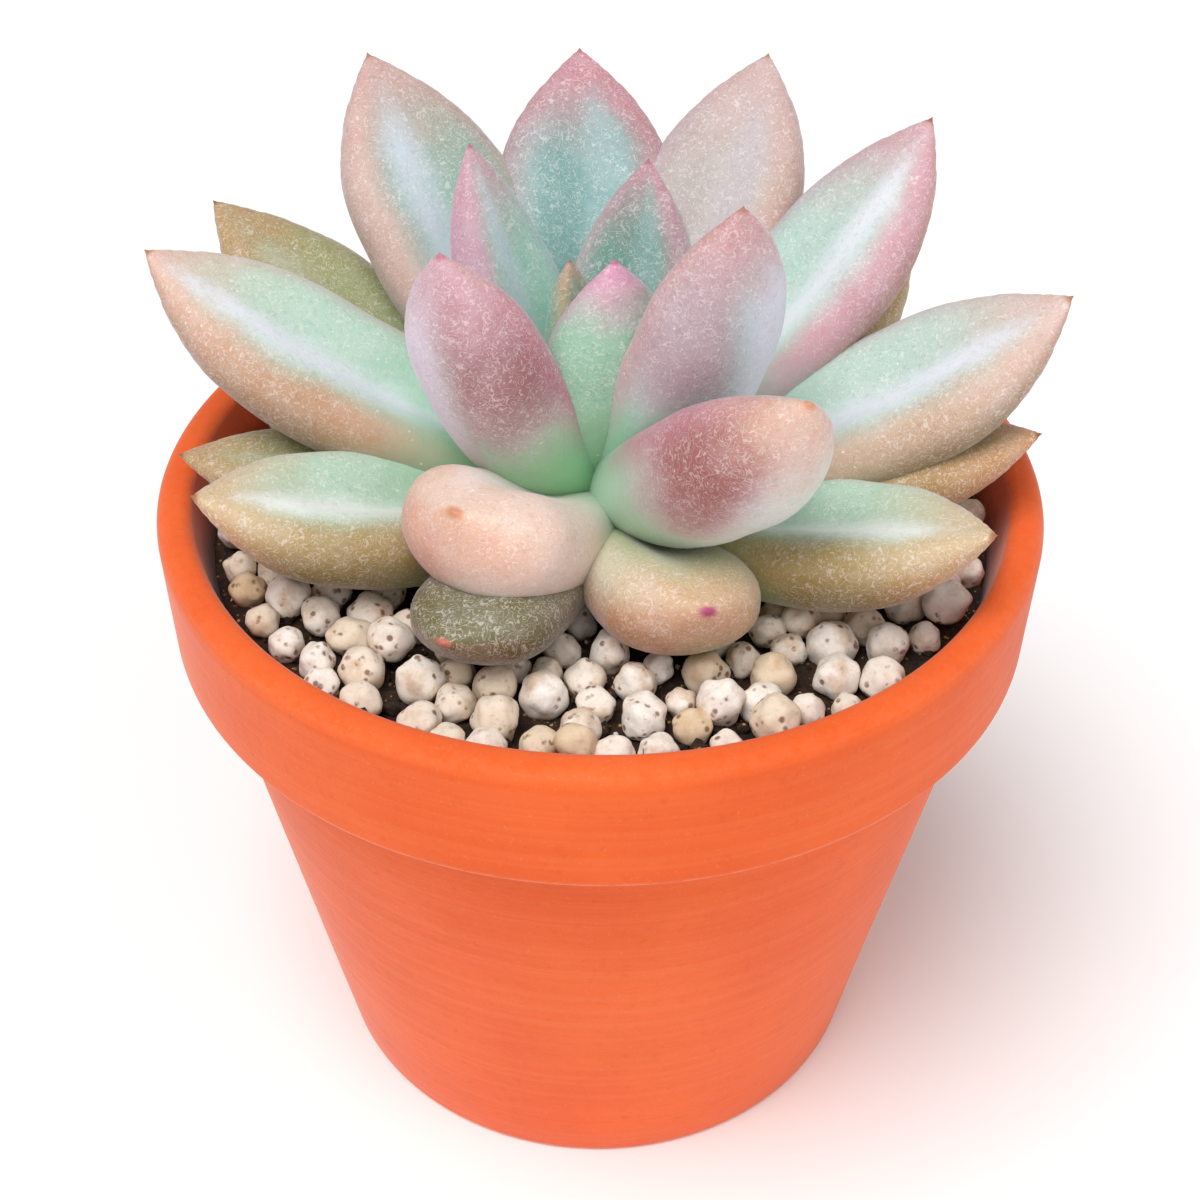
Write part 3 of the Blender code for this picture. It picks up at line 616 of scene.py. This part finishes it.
def make_pot(finish):
    """The turned pot, a little uneven like hand-finished clay."""
    collar_bottom = POT_HEIGHT - COLLAR_HEIGHT
    outline = [(DRAIN_HOLE_RADIUS, 0.0), (BASE_RADIUS * 0.6, 0.0)]
    outline += arc(BASE_RADIUS - BASE_ROUNDING, BASE_ROUNDING, BASE_ROUNDING, -90, -10, 5)
    outline += straight(outline[-1], (body_radius(collar_bottom) - 0.0002, collar_bottom), 14)
    outline += arc(COLLAR_BOTTOM_RADIUS - COLLAR_ROUNDING, collar_bottom + COLLAR_ROUNDING,
                   COLLAR_ROUNDING, -90, 0, 5)
    outline += straight(outline[-1], (RIM_RADIUS, POT_HEIGHT - LIP_RADIUS), 8)
    outline += arc(RIM_RADIUS - LIP_RADIUS, POT_HEIGHT - LIP_RADIUS, LIP_RADIUS, 10, 90, 8)
    inner = body_radius(POT_HEIGHT) - POT_WALL
    outline += arc(inner + INNER_LIP_RADIUS, POT_HEIGHT - INNER_LIP_RADIUS, INNER_LIP_RADIUS, 95, 180, 7)
    outline += straight(outline[-1], (body_radius(FLOOR_TURN) - POT_WALL, FLOOR_TURN), 12)
    outline += [(body_radius(POT_FLOOR) - 2.0 * POT_WALL, POT_FLOOR), (DRAIN_HOLE_RADIUS, POT_FLOOR)]
    points = []
    inside = []
    edge = []
    for radius, height in outline:
        within = 1.0 if radius < body_radius(height) - 0.5 * POT_WALL and height > 0.001 else 0.0
        rim = max(0.0, 1.0 - abs(height - POT_HEIGHT + LIP_WEAR_BELOW_TOP) / WEAR_REACH)
        from_collar = abs(height - collar_bottom - COLLAR_PALE_LINE_HEIGHT)
        foot_of_collar = max(0.0, 1.0 - from_collar / COLLAR_PALE_LINE_REACH) * (1.0 - within)
        base_edge = max(0.0, 1.0 - height / WEAR_REACH) * 0.6
        for step in range(POT_SEGMENTS):
            angle = 2.0 * math.pi * step / POT_SEGMENTS
            ring = Vector((math.cos(angle), math.sin(angle), 0.0))
            uneven = noise.noise(ring * 1.7 + Vector((0.0, 0.0, height * 30.0))) * CLAY_WOBBLE
            uneven *= min(1.0, height / 0.010)
            points.append(ring * (radius + uneven) + Vector((0.0, 0.0, height)))
            inside.append(within)
            edge.append(max(0.15 * rim, foot_of_collar, base_edge))
    rings = len(outline)
    faces = ring_faces(rings, POT_SEGMENTS)
    last = (rings - 1) * POT_SEGMENTS
    for step in range(POT_SEGMENTS):
        following = (step + 1) % POT_SEGMENTS
        faces.append((last + step, last + following, following, step))
    new_piece("clay_pot", points, faces, finish, ["pot"], {"inside": inside, "edge": edge})


def soil_surface(x, y):
    """Height of the crumbly soil at a place."""
    rough = noise.fractal(Vector((x, y, 0.3)) * 260.0, 0.9, 2.1, 5) * SOIL_RELIEF
    return soil_level(math.hypot(x, y)) + rough - SOIL_SINK


def circle(radius, segments):
    """Places (x, y) round the pot's axis."""
    angles = [2.0 * math.pi * step / segments for step in range(segments)]
    return [(radius * math.cos(angle), radius * math.sin(angle)) for angle in angles]


def make_soil(finish):
    """A crumbly soil surface with a plain mass under it, inside the pot."""
    wall = body_radius(POT_HEIGHT - SOIL_BELOW_RIM) - POT_WALL - SOIL_WALL_GAP
    points = []
    for inset, height in SOIL_BOTTOM:
        for x, y in circle(body_radius(FLOOR_TURN) - inset, SOIL_SEGMENTS):
            points.append(Vector((x, y, height)))
    for ring in range(SOIL_RINGS):
        for x, y in circle(wall * (1.0 - ring / SOIL_RINGS), SOIL_SEGMENTS):
            points.append(Vector((x, y, soil_surface(x, y))))
    faces = ring_faces(SOIL_RINGS + len(SOIL_BOTTOM), SOIL_SEGMENTS)
    faces.append(tuple(reversed(range(SOIL_SEGMENTS))))
    last = (SOIL_RINGS + len(SOIL_BOTTOM) - 1) * SOIL_SEGMENTS
    points.append(Vector((0.0, 0.0, soil_surface(0.0, 0.0))))
    for step in range(SOIL_SEGMENTS):
        faces.append((last + step, last + (step + 1) % SOIL_SEGMENTS, len(points) - 1))
    new_piece("soil_bed", points, faces, finish, ["soil"])


def ball(detail):
    """Points and triangles of a unit sphere with even triangles."""
    mesh = bmesh.new()
    bmesh.ops.create_icosphere(mesh, subdivisions=detail, radius=1.0)
    points = [vertex.co.copy() for vertex in mesh.verts]
    faces = [tuple(vertex.index for vertex in face.verts) for face in mesh.faces]
    mesh.free()
    return points, faces


def lump(unit, centre, radius, seed, squash, roughness):
    """A rounded, slightly faceted stone round a centre."""
    shift = Vector([random.uniform(-1, 1) for _ in range(3)]).normalized() * LUMP_SHIFT
    stretch = [random.uniform(1.0 - squash, 1.0 + squash) for _ in range(3)]
    flats = []
    for _ in range(FLAT_COUNT):
        direction = Vector([random.gauss(0, 1) for _ in range(3)]).normalized()
        flats.append((direction, random.uniform(*FLAT_DEPTH)))
    points = []
    for point in unit:
        broad = noise.noise(point * 1.4 + seed)
        fine = noise.noise(point * 4.2 + seed)
        size = 1.0 + roughness * broad + 0.12 * roughness * fine
        shaped = Vector((point.x * stretch[0], point.y * stretch[1], point.z * stretch[2])) * size
        for direction, depth in flats:
            over = shaped.dot(direction) - depth
            if over > 0.0:
                shaped -= direction * over * FLATTENING
        points.append(centre + (shaped - shift) * radius)
    return points


def add_lump(piece, ball_shape, *shape):
    """Adds one stone's points and triangles to those of a piece."""
    points, faces = piece
    unit, triangles = ball_shape
    start = len(points)
    points.extend(lump(unit, *shape))
    faces.extend(tuple(start + corner for corner in triangle) for triangle in triangles)


def place_grains(tree):
    """Drops grains one at a time to the lowest free place beside the wall, the leaves and each other."""
    placed = []
    wall = body_radius(POT_HEIGHT - SOIL_BELOW_RIM) - POT_WALL
    for _ in range(GRAIN_DROPS):
        if len(placed) == MOST_GRAINS:
            break
        radius = random.uniform(*GRAIN_RADIUS)
        best = None
        for _ in range(PLACES_PER_DROP):
            angle = random.uniform(0.0, 2.0 * math.pi)
            reach = math.sqrt(random.uniform(0.10, 1.0)) * (wall - radius - GRAIN_WALL_GAP)
            x, y = reach * math.cos(angle), reach * math.sin(angle)
            z = soil_level(reach) + radius * GRAIN_SEAT
            for other, size in placed:
                flat = math.hypot(x - other.x, y - other.y)
                touch = (radius + size) * GRAIN_PACKING
                if flat < touch:
                    z = max(z, other.z + math.sqrt(touch * touch - flat * flat))
            if z + radius > POT_HEIGHT - GRAIN_LIP_GAP or z - soil_level(reach) > GRAIN_HIGHEST * radius:
                continue
            spot = Vector((x, y, z))
            nearest, normal, _, distance = tree.find_nearest(spot, LEAF_SEARCH)
            if nearest is not None:
                inside_leaf = (spot - nearest).dot(normal) < 0.0
                if inside_leaf or distance < radius * GRAIN_LEAF_REACH:
                    continue
            if best is None or z < best.z:
                best = spot
        if best is not None:
            placed.append((best, radius))
    return placed


def make_grains(tree, finish):
    """The pale grains, shared out between a few pieces."""
    shape = ball(4)
    placed = place_grains(tree)
    pieces = [([], [], []) for _ in range(GRAIN_PIECES)]
    for index, (centre, radius) in enumerate(placed):
        points, faces, tints = pieces[index % GRAIN_PIECES]
        seed = Vector((index * 3.1, index * 1.7, 5.0))
        add_lump((points, faces), shape, centre, radius, seed, 0.12, 0.20)
        tints.extend([random.random() ** 2] * len(shape[0]))
    for index, (points, faces, tints) in enumerate(pieces):
        new_piece("pumice_grains_%d" % (index + 1), points, faces, finish,
                  ["top_dressing"], {"tint": tints})


def make_crumbs(crumb, finish):
    """Loose crumbs of soil, or chips of the pale stone, between the grains."""
    shape = ball(2)
    wall = body_radius(POT_HEIGHT - SOIL_BELOW_RIM) - POT_WALL - CRUMB_WALL_GAP
    points = []
    faces = []
    tints = []
    for index in range(crumb.count):
        angle = random.uniform(0.0, 2.0 * math.pi)
        reach = math.sqrt(random.random()) * wall
        radius = crumb.smallest + (crumb.largest - crumb.smallest) * random.random() ** 2
        x, y = reach * math.cos(angle), reach * math.sin(angle)
        centre = Vector((x, y, soil_surface(x, y) + radius * 0.4))
        seed = Vector((index * 2.3, 1.0, 9.0))
        add_lump((points, faces), shape, centre, radius, seed, 0.35, 0.6)
        tints.extend([random.random()] * len(shape[0]))
    new_piece(crumb.piece, points, faces, finish, [crumb.node], {"tint": tints})


# ---------------------------------------------------------------- stage, light and camera
def make_stage():
    """The plain pale floor."""
    finish = Finish("studio_paper")
    mottled = finish.noise(3.0, 2.0)
    white = finish.mix(mottled, (0.95, 0.95, 0.95, 1.0), (0.97, 0.97, 0.97, 1.0))
    finish.done(white, 0.9)
    mesh = bpy.data.meshes.new("floor")
    corners = [(x * FLOOR_HALF, y * FLOOR_HALF, 0.0) for x, y in ((-1, -1), (1, -1), (1, 1), (-1, 1))]
    mesh.from_pydata(corners, [], [(0, 1, 2, 3)])
    mesh.materials.append(finish.material)
    floor = bpy.data.objects.new("floor", mesh)
    bpy.context.scene.collection.objects.link(floor)


def make_sun(sun):
    """A broad soft light that falls evenly on the whole stage."""
    data = bpy.data.lights.new(sun.name, "SUN")
    data.angle = math.radians(sun.spread)
    data.energy = sun.strength
    light = bpy.data.objects.new(sun.name, data)
    light.rotation_euler = Vector(sun.direction).to_track_quat("-Z", "Y").to_euler()
    bpy.context.scene.collection.objects.link(light)


def make_world():
    """Even white light from all round."""
    world = bpy.data.worlds.new("studio")
    world.use_nodes = True
    background = world.node_tree.nodes["Background"]
    background.inputs["Color"].default_value = (1.0, 1.0, 1.0, 1.0)
    background.inputs["Strength"].default_value = WORLD_STRENGTH
    bpy.context.scene.world = world


def make_camera():
    """The camera, looking down at the front of the plant."""
    data = bpy.data.cameras.new("camera")
    data.lens = LENS
    data.sensor_width = SENSOR_WIDTH
    camera = bpy.data.objects.new("camera", data)
    elevation = math.radians(CAMERA_ELEVATION)
    target = Vector(CAMERA_TARGET)
    backward = Vector((0.0, -math.cos(elevation), math.sin(elevation)))
    camera.location = target + backward * CAMERA_DISTANCE
    forward = (target - camera.location).normalized()
    camera.rotation_mode = "QUATERNION"
    camera.rotation_quaternion = Quaternion(forward, CAMERA_ROLL) @ forward.to_track_quat("-Z", "Y")
    bpy.context.scene.collection.objects.link(camera)
    bpy.context.scene.camera = camera


def make_leaves():
    """All the leaves, and a tree of their faces to look up what is near them."""
    finishes = {}
    for leaf in LEAVES:
        if leaf.look not in finishes:
            finishes[leaf.look] = leaf_finish(leaf.look)
        make_leaf(leaf, finishes[leaf.look])
    mesh = bmesh.new()
    for leaf in LEAVES:
        mesh.from_mesh(bpy.data.objects["visual_" + leaf.name].data)
    tree = BVHTree.FromBMesh(mesh)
    mesh.free()
    return tree


def build():
    """The whole scene. The order matters, since grains, crumbs and chips share one run of random draws."""
    tree = make_leaves()
    make_pot(clay_finish())
    earth = soil_finish()
    pumice = grain_finish()
    make_soil(earth)
    make_grains(tree, pumice)
    make_crumbs(SOIL_CRUMBS, earth)
    make_crumbs(STONE_CHIPS, pumice)
    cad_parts["stem"].data.materials[0] = stem_finish()
    make_stage()
    make_world()
    for sun in SUNS:
        make_sun(sun)
    make_camera()
    bpy.context.scene.view_settings.view_transform = "Standard"


build()
